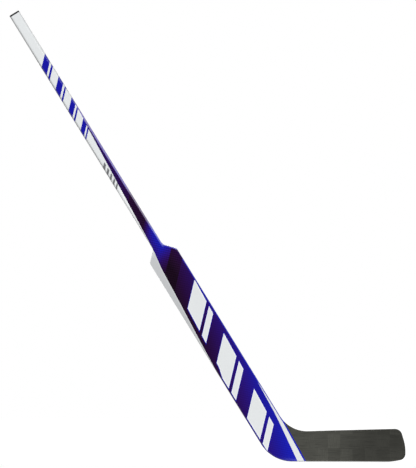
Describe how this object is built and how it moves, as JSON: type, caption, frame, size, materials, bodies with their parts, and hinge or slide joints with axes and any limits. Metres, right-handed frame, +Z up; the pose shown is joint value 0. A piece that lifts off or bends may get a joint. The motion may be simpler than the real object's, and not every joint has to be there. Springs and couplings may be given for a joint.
{
  "type": "hockey goalie stick",
  "caption": "Composite ice hockey goalie stick with a long wide paddle, square shoulders and a curved carbon blade, white, purple and blue.",
  "frame": {"origin": "on the sole of the blade, where the line of the paddle's toe-side edge meets the ice", "axes": "+X along the ice from heel to toe, +Y from the front face to the back face, +Z up; the stick stands on its sole as in play"},
  "size_m": [1.0837, 0.0469, 1.2355],
  "materials": {
    "shaft_lacquer": "clear-coated lacquer, white fading to purple and blue near the paddle",
    "paddle_lacquer": "clear-coated lacquer, dark purple to blue with white bars",
    "blade_carbon": "satin clear coat over wide carbon tape",
    "band_carbon": "satin, darker than the blade's faces",
    "cap_plastic": "moulded, fine grain",
    "core_foam": "rigid foam",
    "stringer_wood": "bare aspen",
    "hidden_laminate": "bare carbon laminate"
  },
  "bodies": {
    "root": {"shaft_tube": "shaft_lacquer", "butt_cap": "cap_plastic", "tenon_plug": "core_foam", "paddle_front_skin": "paddle_lacquer", "paddle_back_skin": "paddle_lacquer", "edge_rail_toe": "paddle_lacquer", "edge_rail_heel": "paddle_lacquer", "paddle_core_toe": "core_foam", "paddle_core_heel": "core_foam", "paddle_stringer": "stringer_wood", "heel_block": "paddle_lacquer", "heel_spline": "hidden_laminate", "blade_front_skin": "blade_carbon", "blade_back_skin": "blade_carbon", "blade_edge_band": "band_carbon", "blade_core_upper": "core_foam", "blade_core_lower": "core_foam", "blade_rib": "hidden_laminate"}
  },
  "joints": []
}
